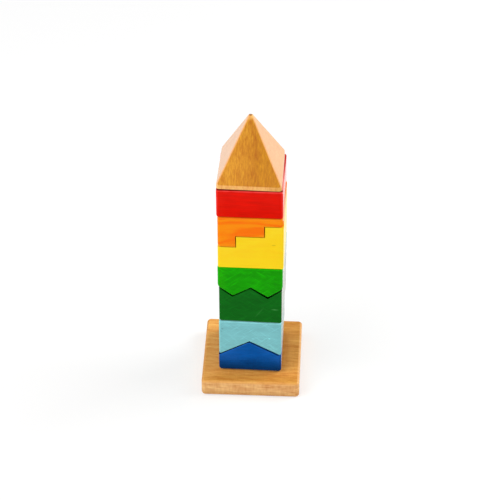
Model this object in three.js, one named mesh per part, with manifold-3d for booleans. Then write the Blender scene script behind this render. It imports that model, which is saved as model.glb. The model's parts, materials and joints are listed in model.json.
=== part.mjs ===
// A wooden shape stacking tower: a square base plate with a glued-in dowel post, three pairs of stained
// blocks that interlock, a plain slab and a pyramid, all threaded on the post.
// Millimetres, +Z up. The origin is the centre of the base plate's underside.

import * as THREE from 'three';
import { mergeVertices } from 'three/addons/utils/BufferGeometryUtils.js';
import Module from 'manifold-3d';

const wasm = await Module();
wasm.setup();

// Base plate: the ledge that it leaves round the tower, and how its edges are eased
const BASE_LEDGE = 13.55;
const BASE_THICKNESS = 14.25;
const BASE_EDGE_RADIUS = 2;
const BASE_CORNER_SPARE = 1.25;

// Dowel post, its socket in the plate, and the play of the blocks' bores around it
const DOWEL_DIAMETER = 12;
const DOWEL_NOSE_FLAT = 2;
const DOWEL_FOOT_CHAMFER = 1;
const SOCKET_FLOOR = 4;
const GLUE_GAP = 0.3;
const BORE_PLAY = 1;

// Blocks: side, how much slimmer some are sanded, and eased edges
const BLOCK_SIDE = 50;
const DARK_BLUE_SANDED = 0.7;
const LIGHT_BLUE_SANDED = 1.3;
const DARK_GREEN_SANDED = 1.5;
const PYRAMID_SANDED = 1;
const EDGE_RADIUS = 1.25;
const CORNER_SPARE = 0.5;

// Blue pair: a roof ridge, and the gap in it
const DARK_BLUE_EAVES = 15.6;
const RIDGE_RISE = 14.2;
const LIGHT_BLUE_CROWN = 20.3;
const RIDGE_GAP = 0.5;

// Green pair: two teeth that mesh loosely
const DARK_GREEN_LEAST = 25.1;
const TOOTH_DEPTH = 8.8;
const TOOTH_OFFSET = 13.4;
const LIGHT_GREEN_CROWN = 20.4;
const TOOTH_GAP = 1.25;

// Yellow and orange pair: two steps
const YELLOW_LEAST = 19.5;
const STEP_RISE = 10.2;
const MIDDLE_TREAD = 21.8;
const ORANGE_CROWN = 8.05;
const STAIR_GAP = 0.65;

// Red slab
const RED_HEIGHT = 25.35;

// Pyramid: the upright land at its foot, its corners in plan, its tip, and the wood left round its blind hole
const PYRAMID_HEIGHT = 51.9;
const PYRAMID_LAND = 4.2;
const PYRAMID_CORNER = 2.6;
const PYRAMID_TIP_RADIUS = 1.6;
const PYRAMID_HOLE_WALL = 9;
const PYRAMID_HOLE_SPARE = 2;

// How each block stands on the post: a shift along X as a share of the bore's play, and a turn in degrees
const DARK_BLUE_SEAT = { shift: -0.2, turn: -1.8 };
const LIGHT_BLUE_SEAT = { shift: -0.25, turn: -1.0 };
const DARK_GREEN_SEAT = { shift: 0.4, turn: -2.1 };
const LIGHT_GREEN_SEAT = { shift: 0, turn: -1.5 };
const STAIR_SEAT = { shift: 0.15, turn: -0.8 };
const RED_SEAT = { shift: -0.5, turn: -1.0 };
const PYRAMID_SEAT = { shift: -0.7, turn: -1.6 };

// How round the pyramid's tip is in plan, from a square at 0 to a circle at 1, and where its dome ends
const TIP_ROUNDNESS = 0.8;
const TIP_DOME_END = THREE.MathUtils.degToRad(80);

// Fineness of the curves, and the distance within which corners count as shared
const CORNER_STEPS = 4;
const EDGE_STEPS = 3;
const ROUND_STEPS = 32;
const WELD_DISTANCE = 1e-4;

// Stains and bare wood
const BEECH = 0xd6a062;
const DARK_BLUE = 0x0d4c8c;
const LIGHT_BLUE = 0x7ebfc3;
const DARK_GREEN = 0x126318;
const LIGHT_GREEN = 0x1e9e0a;
const YELLOW = 0xfdd325;
const ORANGE = 0xfe8214;
const RED = 0xde190c;
const WOOD_ROUGHNESS = 0.5;

const QUARTER_TURN = Math.PI / 2;

const blockHalf = BLOCK_SIDE / 2;
const dowelRadius = DOWEL_DIAMETER / 2;
const boreRadius = dowelRadius + BORE_PLAY;
const cornerRadius = EDGE_RADIUS + CORNER_SPARE;
const landHalf = blockHalf - PYRAMID_SANDED / 2;
const slopeHeight = PYRAMID_HEIGHT - PYRAMID_LAND;
const holeShare = 1 - (boreRadius + PYRAMID_HOLE_WALL) / landHalf;
const pyramidHoleDepth = PYRAMID_LAND + slopeHeight * holeShare;
const dowelReach = pyramidHoleDepth - PYRAMID_HOLE_SPARE;

// A closed solid from a geometry, with its shared corners joined.
function solidOf(geometry) {
  const bare = geometry.index ? geometry.toNonIndexed() : geometry.clone();
  bare.deleteAttribute('normal');
  bare.deleteAttribute('uv');
  const merged = mergeVertices(bare, WELD_DISTANCE);
  const mesh = new wasm.Mesh({
    numProp: 3,
    vertProperties: new Float32Array(merged.attributes.position.array),
    triVerts: new Uint32Array(merged.index.array),
  });
  return new wasm.Manifold(mesh);
}

function geometryOf(solid) {
  const mesh = solid.getMesh();
  const geometry = new THREE.BufferGeometry();
  geometry.setAttribute('position', new THREE.BufferAttribute(mesh.vertProperties, 3));
  geometry.setIndex(new THREE.BufferAttribute(mesh.triVerts, 1));
  geometry.computeVertexNormals();
  return geometry;
}

function cut(body, tool) {
  return geometryOf(solidOf(body).subtract(solidOf(tool)));
}

// An upright cylinder from bottom to top.
function upright(radius, bottom, top) {
  const geometry = new THREE.CylinderGeometry(radius, radius, top - bottom, ROUND_STEPS);
  geometry.rotateX(QUARTER_TURN);
  geometry.translate(0, 0, (bottom + top) / 2);
  return geometry;
}

// The outline of a polygon that runs anticlockwise, with its outward corners rounded.
function roundedOutline(corners, radius) {
  const outline = [];
  corners.forEach((corner, i) => {
    const before = corners[(i + corners.length - 1) % corners.length];
    const after = corners[(i + 1) % corners.length];
    const back = before.clone().sub(corner).normalize();
    const ahead = after.clone().sub(corner).normalize();
    const pointsOut = ahead.cross(back) > 0;
    if (!pointsOut) {
      outline.push(corner);
      return;
    }
    const halfAngle = back.angleTo(ahead) / 2;
    const inward = back.clone().add(ahead).normalize();
    const centre = corner.clone().addScaledVector(inward, radius / Math.sin(halfAngle));
    const sweep = Math.PI - 2 * halfAngle;
    const start = Math.atan2(-inward.y, -inward.x) - sweep / 2;
    for (let step = 0; step <= CORNER_STEPS; step += 1) {
      const angle = start + (sweep * step) / CORNER_STEPS;
      outline.push(new THREE.Vector2(
        centre.x + radius * Math.cos(angle),
        centre.y + radius * Math.sin(angle),
      ));
    }
  });
  return outline;
}

// A slab of an outline, thick along Z from 0, with its two faces' edges rounded.
function roundedSlab(outline, thickness, edgeRadius) {
  const geometry = new THREE.ExtrudeGeometry(new THREE.Shape(outline), {
    depth: thickness - 2 * edgeRadius,
    bevelEnabled: true,
    bevelThickness: edgeRadius,
    bevelSize: edgeRadius,
    bevelOffset: -edgeRadius,
    bevelSegments: EDGE_STEPS,
  });
  geometry.translate(0, 0, edgeRadius);
  return geometry;
}

// A block whose front outline, in X and Z, runs from front to back, bored along the post.
function boredBlock(corners, side) {
  const block = roundedSlab(roundedOutline(corners, cornerRadius), side, EDGE_RADIUS);
  block.rotateX(QUARTER_TURN);
  block.translate(0, side / 2, 0);
  block.computeBoundingBox();
  const { min, max } = block.boundingBox;
  return cut(block, upright(boreRadius, min.z - BORE_PLAY, max.z + BORE_PLAY));
}

function point(x, z) {
  return new THREE.Vector2(x, z);
}

// Where the straight line through a and b stands at the given x.
function lineAt(a, b, x) {
  return point(x, a.y + ((b.y - a.y) * (x - a.x)) / (b.x - a.x));
}

// The same joint line with both its ends moved along their legs to the block's sides.
function endedAt(line, half) {
  const last = line.length - 1;
  const ended = line.map((p) => p.clone());
  ended[0] = lineAt(line[0], line[1], -half);
  ended[last] = lineAt(line[last - 1], line[last], half);
  return ended;
}

// The joint line moved up by a gap that is the same all along its legs.
function raisedBy(line, gap) {
  const normals = line.slice(1).map((p, i) => {
    const along = p.clone().sub(line[i]).normalize();
    return point(-along.y, along.x);
  });
  return line.map((p, i) => {
    const left = normals[Math.max(i - 1, 0)];
    const right = normals[Math.min(i, normals.length - 1)];
    const middle = left.clone().add(right).normalize();
    return p.clone().addScaledVector(middle, gap / middle.dot(left));
  });
}

// The block below a joint line, from z = 0 up to the line.
function lowerCorners(line, side) {
  const half = side / 2;
  const top = endedAt(line, half).reverse();
  return [point(-half, 0), point(half, 0), ...top];
}

// The block above a joint line, clear of the lower block by the gap, up to the pair's flat top.
function upperCorners(line, gap, side, top) {
  const half = side / 2;
  const underside = endedAt(raisedBy(line, gap), half);
  return [...underside, point(half, top), point(-half, top)];
}

function ridgeLine() {
  return [
    point(-blockHalf, DARK_BLUE_EAVES),
    point(0, DARK_BLUE_EAVES + RIDGE_RISE),
    point(blockHalf, DARK_BLUE_EAVES),
  ];
}

function toothLine() {
  const low = DARK_GREEN_LEAST;
  const high = DARK_GREEN_LEAST + TOOTH_DEPTH;
  return [
    point(-blockHalf, high),
    point(-TOOTH_OFFSET, low),
    point(0, high),
    point(TOOTH_OFFSET, low),
    point(blockHalf, high),
  ];
}

function stairLine() {
  const riser = MIDDLE_TREAD / 2;
  const middle = YELLOW_LEAST + STEP_RISE;
  const high = middle + STEP_RISE;
  return [
    point(-blockHalf, YELLOW_LEAST),
    point(-riser, YELLOW_LEAST),
    point(-riser, middle),
    point(riser, middle),
    point(riser, high),
    point(blockHalf, high),
  ];
}

function rectangle(width, height) {
  const half = width / 2;
  return [point(-half, 0), point(half, 0), point(half, height), point(-half, height)];
}

// A square ring of points with rounded corners, at one height.
function squareRing(half, radius, z) {
  const ring = [];
  for (let corner = 0; corner < 4; corner += 1) {
    const turn = corner * QUARTER_TURN;
    const middle = point(half - radius, half - radius).rotateAround(point(0, 0), turn);
    for (let step = 0; step <= CORNER_STEPS; step += 1) {
      const angle = turn + QUARTER_TURN * (step / CORNER_STEPS);
      ring.push(new THREE.Vector3(
        middle.x + radius * Math.cos(angle),
        middle.y + radius * Math.sin(angle),
        z,
      ));
    }
  }
  return ring;
}

// A closed skin over rings of equal count, from the lowest up, with flat ends.
function loft(rings) {
  const count = rings[0].length;
  const positions = rings.flat().flatMap((p) => [p.x, p.y, p.z]);
  const index = [];
  for (let r = 0; r + 1 < rings.length; r += 1) {
    for (let i = 0; i < count; i += 1) {
      const low = r * count + i;
      const lowNext = r * count + ((i + 1) % count);
      index.push(low, lowNext, lowNext + count);
      index.push(low, lowNext + count, low + count);
    }
  }
  const top = (rings.length - 1) * count;
  for (let i = 1; i + 1 < count; i += 1) {
    index.push(0, i + 1, i);
    index.push(top, top + i, top + i + 1);
  }
  const geometry = new THREE.BufferGeometry();
  geometry.setAttribute('position', new THREE.Float32BufferAttribute(positions, 3));
  geometry.setIndex(index);
  return geometry;
}

// A pyramid on a short upright land, with eased arrises, a small dome for a tip and a blind hole underneath.
function pyramid() {
  const rings = [];
  for (let step = 0; step <= EDGE_STEPS; step += 1) {
    const angle = QUARTER_TURN * (step / EDGE_STEPS);
    const inset = EDGE_RADIUS * (1 - Math.sin(angle));
    const z = EDGE_RADIUS * (1 - Math.cos(angle));
    rings.push(squareRing(landHalf - inset, PYRAMID_CORNER - inset, z));
  }
  rings.push(squareRing(landHalf, PYRAMID_CORNER, PYRAMID_LAND));
  const domeStart = Math.atan2(landHalf, slopeHeight);
  const domeCentre = PYRAMID_HEIGHT - PYRAMID_TIP_RADIUS * Math.sin(TIP_DOME_END);
  for (let step = 0; step <= EDGE_STEPS; step += 1) {
    const angle = THREE.MathUtils.lerp(domeStart, TIP_DOME_END, step / EDGE_STEPS);
    const half = PYRAMID_TIP_RADIUS * Math.cos(angle);
    const z = domeCentre + PYRAMID_TIP_RADIUS * Math.sin(angle);
    rings.push(squareRing(half, half * TIP_ROUNDNESS, z));
  }
  return cut(loft(rings), upright(boreRadius, -BORE_PLAY, pyramidHoleDepth));
}

// A plate that lies flat, with a blind socket for the post.
function basePlate() {
  const side = BLOCK_SIDE + 2 * BASE_LEDGE;
  const outline = roundedOutline(rectangle(side, side), BASE_EDGE_RADIUS + BASE_CORNER_SPARE);
  const plate = roundedSlab(outline, BASE_THICKNESS, BASE_EDGE_RADIUS);
  plate.translate(0, -side / 2, 0);
  return cut(plate, upright(dowelRadius + GLUE_GAP, SOCKET_FLOOR, BASE_THICKNESS + BORE_PLAY));
}

// The post stands on its socket's floor and ends in a rounded nose.
function dowelPost(top) {
  const noseRound = dowelRadius - DOWEL_NOSE_FLAT;
  const profile = [
    point(0, SOCKET_FLOOR),
    point(dowelRadius - DOWEL_FOOT_CHAMFER, SOCKET_FLOOR),
    point(dowelRadius, SOCKET_FLOOR + DOWEL_FOOT_CHAMFER),
  ];
  for (let step = 0; step <= CORNER_STEPS; step += 1) {
    const angle = QUARTER_TURN * (step / CORNER_STEPS);
    const r = DOWEL_NOSE_FLAT + noseRound * Math.cos(angle);
    profile.push(point(r, top - noseRound * (1 - Math.sin(angle))));
  }
  profile.push(point(0, top));
  const post = new THREE.LatheGeometry(profile, ROUND_STEPS);
  post.rotateX(QUARTER_TURN);
  return post;
}

function addPiece(group, name, geometry, color) {
  const material = new THREE.MeshStandardMaterial({ color, roughness: WOOD_ROUGHNESS, metalness: 0 });
  const piece = new THREE.Mesh(geometry, material);
  piece.name = name;
  group.add(piece);
}

// A place on the post at a height, shifted and turned as a seat says.
function addSeat(height, seat) {
  const place = new THREE.Group();
  place.position.set(seat.shift * BORE_PLAY, 0, height);
  place.rotation.z = THREE.MathUtils.degToRad(seat.turn);
  tower.add(place);
  return place;
}

// Two blocks that share one joint line and stand together from a height.
function addPair(height, line, gap, top, lower, upper) {
  const lowerBlock = boredBlock(lowerCorners(line, lower.side), lower.side);
  const upperBlock = boredBlock(upperCorners(line, gap, upper.side, top), upper.side);
  addPiece(addSeat(height, lower.seat), lower.name, lowerBlock, lower.color);
  addPiece(addSeat(height, upper.seat), upper.name, upperBlock, upper.color);
}

const blueHeight = DARK_BLUE_EAVES + RIDGE_RISE + LIGHT_BLUE_CROWN;
const greenHeight = DARK_GREEN_LEAST + TOOTH_DEPTH + LIGHT_GREEN_CROWN;
const stairHeight = YELLOW_LEAST + 2 * STEP_RISE + ORANGE_CROWN;
const greenBottom = BASE_THICKNESS + blueHeight;
const stairBottom = greenBottom + greenHeight;
const redBottom = stairBottom + stairHeight;
const pyramidBottom = redBottom + RED_HEIGHT;

const tower = new THREE.Group();
addPiece(tower, 'base_plate', basePlate(), BEECH);
addPiece(tower, 'dowel_post', dowelPost(pyramidBottom + dowelReach), BEECH);

addPair(
  BASE_THICKNESS,
  ridgeLine(),
  RIDGE_GAP,
  blueHeight,
  { name: 'dark_blue_block', side: BLOCK_SIDE - DARK_BLUE_SANDED, seat: DARK_BLUE_SEAT, color: DARK_BLUE },
  { name: 'light_blue_block', side: BLOCK_SIDE - LIGHT_BLUE_SANDED, seat: LIGHT_BLUE_SEAT, color: LIGHT_BLUE },
);
addPair(
  greenBottom,
  toothLine(),
  TOOTH_GAP,
  greenHeight,
  { name: 'dark_green_block', side: BLOCK_SIDE - DARK_GREEN_SANDED, seat: DARK_GREEN_SEAT, color: DARK_GREEN },
  { name: 'light_green_block', side: BLOCK_SIDE, seat: LIGHT_GREEN_SEAT, color: LIGHT_GREEN },
);
addPair(
  stairBottom,
  stairLine(),
  STAIR_GAP,
  stairHeight,
  { name: 'yellow_block', side: BLOCK_SIDE, seat: STAIR_SEAT, color: YELLOW },
  { name: 'orange_block', side: BLOCK_SIDE, seat: STAIR_SEAT, color: ORANGE },
);

const redSlab = boredBlock(rectangle(BLOCK_SIDE, RED_HEIGHT), BLOCK_SIDE);
addPiece(addSeat(redBottom, RED_SEAT), 'red_block', redSlab, RED);
addPiece(addSeat(pyramidBottom, PYRAMID_SEAT), 'pyramid_top', pyramid(), BEECH);

export default tower;
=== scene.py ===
"""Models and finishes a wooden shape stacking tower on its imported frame, and sets it on a white stage."""

import json
import math
from dataclasses import dataclass, replace

import bmesh
import bpy
from bpy.props import FloatProperty, FloatVectorProperty, PointerProperty
from mathutils import Color, Matrix, Vector


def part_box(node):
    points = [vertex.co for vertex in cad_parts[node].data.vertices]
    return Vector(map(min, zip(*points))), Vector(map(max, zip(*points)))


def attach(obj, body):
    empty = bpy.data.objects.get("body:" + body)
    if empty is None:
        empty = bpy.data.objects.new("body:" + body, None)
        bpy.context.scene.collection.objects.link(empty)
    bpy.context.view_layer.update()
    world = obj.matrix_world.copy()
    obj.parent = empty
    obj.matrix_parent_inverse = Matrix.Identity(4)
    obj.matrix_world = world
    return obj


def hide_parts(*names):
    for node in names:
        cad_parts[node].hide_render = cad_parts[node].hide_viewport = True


bl_info = {
    "name": "Shape Stacking Tower",
    "version": (1, 0, 0),
    "blender": (4, 5, 0),
    "location": "3D View > Sidebar > Tower",
    "description": "Models a wooden stacking tower of interlocking stained blocks on its packed frame",
    "category": "Add Mesh",
}

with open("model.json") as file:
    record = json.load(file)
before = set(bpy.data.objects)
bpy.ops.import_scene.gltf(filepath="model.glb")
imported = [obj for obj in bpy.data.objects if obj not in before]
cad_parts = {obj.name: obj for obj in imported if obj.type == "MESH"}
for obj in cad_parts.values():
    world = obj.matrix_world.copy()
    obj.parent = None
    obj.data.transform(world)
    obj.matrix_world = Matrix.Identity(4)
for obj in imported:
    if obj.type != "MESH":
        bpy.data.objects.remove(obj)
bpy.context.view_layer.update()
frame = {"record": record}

MM = 0.001

# Places of the axes along which the grain runs
X, Z = 0, 2


def mm(*sizes):
    """Millimetres as metres."""
    return tuple(size * MM for size in sizes)


BODY_OF_NODE = {
    node: body for body, nodes in frame["record"]["behaviour"]["bodies"].items() for node in nodes
}
SLOT_OF_NODE = {row["node"]: row["material_slot"] for row in frame["record"]["subparts"]}

# Steps of the arrises, the wide roundings, the plate's edges and the holes' rims, and of a full circle
ARRIS_STEPS = 4
WIDE_STEPS = 8
PLATE_STEPS = 5
RIM_STEPS = 3
ROUND_STEPS = 64

# An edge that turns by more than this is an arris, and one that turns by less than this is shaded smooth
ARRIS_ANGLE = math.radians(20)
SMOOTH_ANGLE = math.radians(35)

# Places within this distance count as one, and a face that faces up or down by more than this is level
TOUCH = 0.02 * MM
LEVEL_FACING = 0.5

# How far the surface turns at a vertex where the wear and painted highlight along an arris start and where
# they are full
WEAR_AND_HIGHLIGHT_START = math.radians(12.5)
WEAR_AND_HIGHLIGHT_FULL = math.radians(20)
WEAR_AND_HIGHLIGHT_NAME = "arris"

# Share of the wear and painted highlight on upright arrises, which grows to 1 where an arris faces up by this
# much, where the light falls, and ends on arrises that face down, which lie in shade
UPRIGHT_WEAR_AND_HIGHLIGHT = 0.2
UPPER_FACING = 0.6

# How far along X a surface faces, from 0 to 1, where it starts and where it is fully one of a piece's sides
SIDE_START = 0.1
SIDE_FULL = 0.35
SIDE_NAME = "side"
UPRIGHT_NAME = "upright"

# How close to its joint's line a vertex counts as lying on the joint
JOINT_REACH = 0.2 * MM
JOINT_NAME = "joint"

# How far a tucked corner may lie from the corner of its joint's line
CORNER_REACH = 2 * MM

# How much of the range of tone each channel of bare beech takes, as its dark grain is redder
BEECH_CHANNELS = (0.5, 1.0, 1.35)

# How far a finish's patterns are shifted, and the rings of level grain raised, for each 1 of its seed
SEED_SHIFT = (0.37, 0.53, 0.71)
PITH_RISE = 0.013

# The middle of the growth rings, in metres, for level and for upright grain
LEVEL_PITH = (0.0, 0.035, -0.02)
UPRIGHT_PITH = (0.03, 0.04, 0.0)

# The rays on upright beech, and the flecks: their length, their width and how much of their cells they fill
RAY_SIZE = mm(1.8, 1.8, 8)
FLECK_LENGTH = 3.2 * MM
FLECK_WIDTH = 0.9 * MM
FLECK_FILL = 0.3

# A fleck's tone, and the power that makes it redder
FLECK_TONE = 0.8
FLECK_POWER = 1.5

# Scratches: the size of their noise, where it starts to show and shows fully, and their depth in the bumps
SCRATCH_SIZE = mm(14, 14, 0.6)
SCRATCH_START = 0.59
SCRATCH_FULL = 0.7
SCRATCH_DEPTH = 0.4

# Uneven wear and painted highlight: the size of its noise, the part of its range that counts, and the shares
# of wear and highlight there
PATCHY_SIZE = mm(5, 5, 5)
PATCHY_RANGE = (0.3, 0.6)
PATCHY_SHARES = (0.5, 1.0)

# How much the fibres change the roughness, and the strength and height of the bumps
GLOSS_SPREAD = 0.12
BUMP_STRENGTH = 0.25
BUMP_HEIGHT = 0.08 * MM

# The noise in the outlines of marks, and a mark's size along an axis where it has no end
RAGGED_SIZE = mm(1.2, 1.2, 1.2)
ENDLESS = 1.0

# Width of the painted shade along a joint's front and back edges, which darkens the mouth of the gap
GAP_SHADE_WIDTH = 3 * MM

# The floor: its size, how far it lies below the base, and how white it is for light and where it is shown
FLOOR_SIZE = 8
FLOOR_DROP = 0.1 * MM
PAPER_WHITE = 0.88
SHOWN_WHITE = 0.45

# The distances and strengths between which the floor's own glow grows
GLOW_RANGE = (0.6, 1.6)
GLOW_STRENGTHS = (0.55, 1.0)

# Width of the camera's sensor, in millimetres
SENSOR_WIDTH = 36


# Properties

def length(millimetres, description):
    size = millimetres * MM
    return FloatProperty(description=description, default=size, min=0.0, precision=5, unit="LENGTH")


def turn(degrees, description):
    return FloatProperty(description=description, default=math.radians(degrees), subtype="ANGLE")


def number(value, description, unit="NONE"):
    return FloatProperty(description=description, default=value, unit=unit)


def colour(red, green, blue, description):
    """A colour given as on a screen, by channels from 0 to 255."""
    light = Color((red / 255, green / 255, blue / 255)).from_srgb_to_scene_linear()
    return FloatVectorProperty(
        description=description, default=light, min=0.0, max=1.0, size=3, subtype="COLOR"
    )


def named(group):
    """Gives each of a group's properties a name, made from its identifier."""
    for key, one in group.__annotations__.items():
        one.keywords["name"] = key.replace("_", " ").capitalize()
    return group


@named
class TowerSizes(bpy.types.PropertyGroup):
    """Sizes of the pieces, between the heights that the frame gives."""

    block_side: length(50, "Width and depth of a block")
    dark_blue_sanded: length(0.7, "How much slimmer the dark blue block is")
    light_blue_sanded: length(1.3, "How much slimmer the light blue block is")
    dark_green_sanded: length(1.5, "How much slimmer the dark green block is")
    pyramid_sanded: length(1, "How much slimmer the pyramid is")
    block_arris: length(1.3, "Rounding of a block's outer edges")
    foot_arris: length(2.6, "Rounding of the dark blue block's lower edges")
    blue_tuck: length(1.2, "How far the dark blue block's back right corner is cut in")
    worn_arris: length(1.9, "Rounding of the blocks' most worn edges")
    joint_arris: length(0.3, "Rounding of the edges along a joint")
    ridge_arris: length(0.5, "Rounding of the dark blue block's edges along the ridge")
    tooth_arris: length(0.5, "Rounding of the dark green block's edges along the zigzag")
    blunt_arris: length(1.8, "Rounding of the upper blocks' edges where a joint ends")
    tip_arris: length(3, "Rounding of the light green block's teeth")
    rest_gap: length(0.02, "Gap between a block's top and the block that stands on it")
    bore_radius: length(7, "Radius of the blocks' holes for the post")
    bore_rim: length(0.5, "Rounding of the holes' edges")
    eaves: length(15.35, "Height of the dark blue block at its sides")
    ridge_rise: length(14.2, "Height of the dark blue block's ridge above its sides")
    ridge_offset: length(0.85, "How far the ridge stands to the left of the block's middle")
    ridge_gap: length(1.05, "Gap between the two blue blocks")
    ridge_slip: length(0.35, "How far the notch stands to the right of the ridge")
    tooth_root: length(25.1, "Height of the dark green block at its valleys")
    tooth_depth: length(8.8, "Height of the teeth above the valleys")
    tooth_offset: length(13.4, "Distance of the right valley from the block's middle")
    tooth_offset_left: length(13.8, "Distance of the left valley from the middle")
    left_rise: length(0.25, "How much shorter the left tooth is than the right one")
    left_cut: length(0.35, "How much deeper the left valley is cut than its tooth reaches")
    right_cut: length(0.8, "How much deeper the right valley is cut than its tooth reaches")
    tooth_gap: length(1.45, "Gap between the two green blocks")
    tooth_slip: length(0.5, "How far the teeth stand to the right of the valleys")
    low_tread: length(20, "Height of the yellow block's lowest tread")
    step_rise: length(10.1, "Height of a step")
    middle_tread: length(21.8, "Depth of the middle tread")
    stair_end: length(2.6, "Rounding of the orange block's edges where the joint ends")
    stair_gap: length(0.55, "Gap between the yellow and orange blocks")
    pyramid_land: length(4.2, "Height of the upright band at the pyramid's foot")
    pyramid_corner: length(2.6, "Rounding of the pyramid's corners in plan")
    pyramid_ridge: length(0.95, "Rounding of the edges between the slopes")
    pyramid_tuck: length(0.8, "How far the pyramid's back right corner is cut in")
    pyramid_tuck_left: length(0.3, "How far the pyramid's back left corner is cut in")
    tip_lean: length(0.35, "How far the pyramid's tip stands to the left")
    shoulder_round: length(1.0, "Rounding of the edges between the slopes and the band")
    tip_half: length(1.3, "Half the width of the pyramid's blunt tip")
    tip_round: length(1.05, "Rounding of the blunt tip's edges")
    pyramid_hole: length(20.75, "Depth of the pyramid's blind hole")
    plate_corner: length(3.25, "Rounding of the base plate's corners in plan")
    plate_edge: length(2, "Rounding of the base plate's upper and lower edges")
    socket_spare: length(0.3, "Gap between the post and its socket")
    post_nose: length(4, "Rounding of the post's upper end")
    post_foot: length(1, "Chamfer of the post's lower end")


@named
class TowerSeats(bpy.types.PropertyGroup):
    """How far each block is turned on the post."""

    dark_blue: turn(-1.4, "Turn of the dark blue block")
    light_blue: turn(-1.0, "Turn of the light blue block")
    dark_green: turn(-2.1, "Turn of the dark green block")
    light_green: turn(-1.5, "Turn of the light green block")
    stairs: turn(-0.8, "Turn of the yellow and orange blocks")
    red: turn(-1.0, "Turn of the red slab")
    pyramid: turn(-1.6, "Turn of the pyramid")


@named
class TowerColours(bpy.types.PropertyGroup):
    """Stains and bare wood."""

    plate: colour(228, 157, 75, "Oiled beech of the base plate")
    plate_front: colour(211, 142, 60, "Darker beech along the plate's front")
    # Paler top left of the blocks: partly the beech's own tone, partly painted light that makes up for the
    # blocks' shade there
    plate_left: colour(236, 168, 88, "Paler beech along the plate's left")
    # Painted shadow of the lowest block on the plate's top, right of it
    plate_shade: colour(178, 106, 42, "Darker beech right of the lowest block")
    # Painted shade along the plate's upper left edge
    plate_dark: colour(172, 104, 48, "Darkened left edge of the plate")
    # Painted highlight along the plate's upper right edge
    plate_pale: colour(244, 196, 146, "Rubbed right edge of the plate")
    plate_face: colour(231, 175, 113, "Paler beech of the base plate's sides")
    # Painted shade along the foot of the plate's sides
    plate_foot: colour(196, 140, 82, "Darker beech along the foot of the plate's sides")
    post: colour(226, 182, 124, "Bare beech of the post")
    dark_blue: colour(4, 83, 162, "Stain of the lowest block")
    light_blue: colour(126, 194, 199, "Stain of the notched block")
    dark_green: colour(12, 97, 20, "Stain of the lower toothed block")
    light_green: colour(23, 155, 3, "Stain of the upper toothed block")
    green_left: colour(38, 162, 4, "Paler stain along the light green block's left")
    yellow: colour(255, 214, 32, "Stain of the lower stair block")
    orange: colour(255, 132, 14, "Stain of the upper stair block")
    # Painted sheen along the front of the orange block's upper right edge
    orange_rubbed: colour(255, 226, 190, "Rubbed right edge of the orange block")
    red: colour(226, 18, 3, "Stain of the slab")
    red_left: colour(234, 30, 12, "Paler stain along the slab's left")
    # Painted sheen along the front of the slab's upper right edge
    red_rubbed: colour(255, 190, 180, "Rubbed right edge of the slab")
    pyramid: colour(206, 133, 29, "Oiled beech of the pyramid")
    pyramid_left: colour(218, 145, 40, "Paler beech on the left of the front")
    pyramid_right: colour(199, 126, 19, "Darker beech on the right of the front")
    # Painted light: the pyramid's left and right faces, paler for the side lamps' light and sheen on them
    pyramid_side: colour(244, 179, 116, "Paler beech of the pyramid's left and right")
    pyramid_land: colour(248, 184, 104, "Paler beech of the band at the pyramid's foot")
    pyramid_tip: colour(150, 100, 50, "Darker end grain of the pyramid's tip")


@named
class TowerStage(bpy.types.PropertyGroup):
    """Camera and light."""

    azimuth: turn(2.886, "How far round to the right the camera stands")
    elevation: turn(38.63, "How far above the horizon the camera stands")
    roll: turn(-0.147, "How far the camera is tilted about its own axis")
    distance: length(1604.6, "Distance from the camera to the point that it looks at")
    aim_x: number(-1.84 * MM, "Place along X of the point that the camera looks at", "LENGTH")
    aim_z: length(116.94, "Height of the point that the camera looks at")
    lens: number(150.26, "Focal length of the camera", "CAMERA")
    left_power: number(15.5, "Power of the left lamp", "POWER")
    right_power: number(14.0, "Power of the right lamp", "POWER")
    front_power: number(2.6, "Power of the front lamp", "POWER")
    ambient: number(0.43, "Strength of the light from all round")


# Modelling by hand: starting, selecting, cutting, rounding and drilling

def deselect():
    bpy.ops.object.select_all(action="DESELECT")


def take(piece):
    """Goes to object mode with just this piece selected and active."""
    if bpy.context.mode != "OBJECT":
        bpy.ops.object.mode_set(mode="OBJECT")
    deselect()
    piece.select_set(True)
    bpy.context.view_layer.objects.active = piece


def opened(name):
    """Names the shape just added, clears its placing and opens it in edit mode."""
    piece = bpy.context.object
    piece.name = piece.data.name = name
    bpy.ops.object.transform_apply(location=True, rotation=True, scale=True)
    bpy.ops.object.mode_set(mode="EDIT")
    return piece


def add_box(name, low, high):
    """Starts a piece as a box between two corners."""
    deselect()
    bpy.ops.mesh.primitive_cube_add(size=1, location=(low + high) / 2, scale=high - low)
    return opened(name)


def add_rod(name, radius, bottom, top):
    """Starts a piece as an upright round rod on the post's axis."""
    deselect()
    middle = (0, 0, (bottom + top) / 2)
    bpy.ops.mesh.primitive_cylinder_add(
        vertices=ROUND_STEPS, radius=radius, depth=top - bottom, location=middle
    )
    return opened(name)


def choose(piece, kind, test):
    """Selects just those vertices, edges or faces of the open piece that pass a test."""
    bpy.ops.mesh.select_mode(type=kind)
    bpy.ops.mesh.select_all(action="DESELECT")
    shape = bmesh.from_edit_mesh(piece.data)
    shape.normal_update()
    elements = {"VERT": shape.verts, "EDGE": shape.edges, "FACE": shape.faces}[kind]
    for element in elements:
        if test(element):
            element.select_set(True)
    shape.select_flush_mode()
    bmesh.update_edit_mesh(piece.data)


def near(value, goal):
    return abs(value - goal) < TOUCH


def at_height(z):
    """Tests whether an edge or a face lies at one height."""
    return lambda element: all(near(vertex.co.z, z) for vertex in element.verts)


def is_arris(edge):
    return edge.is_convex and edge.calc_face_angle(0) > ARRIS_ANGLE


def is_upright(edge):
    start, end = (vertex.co for vertex in edge.verts)
    return near(start.x, end.x) and near(start.y, end.y)


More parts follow.
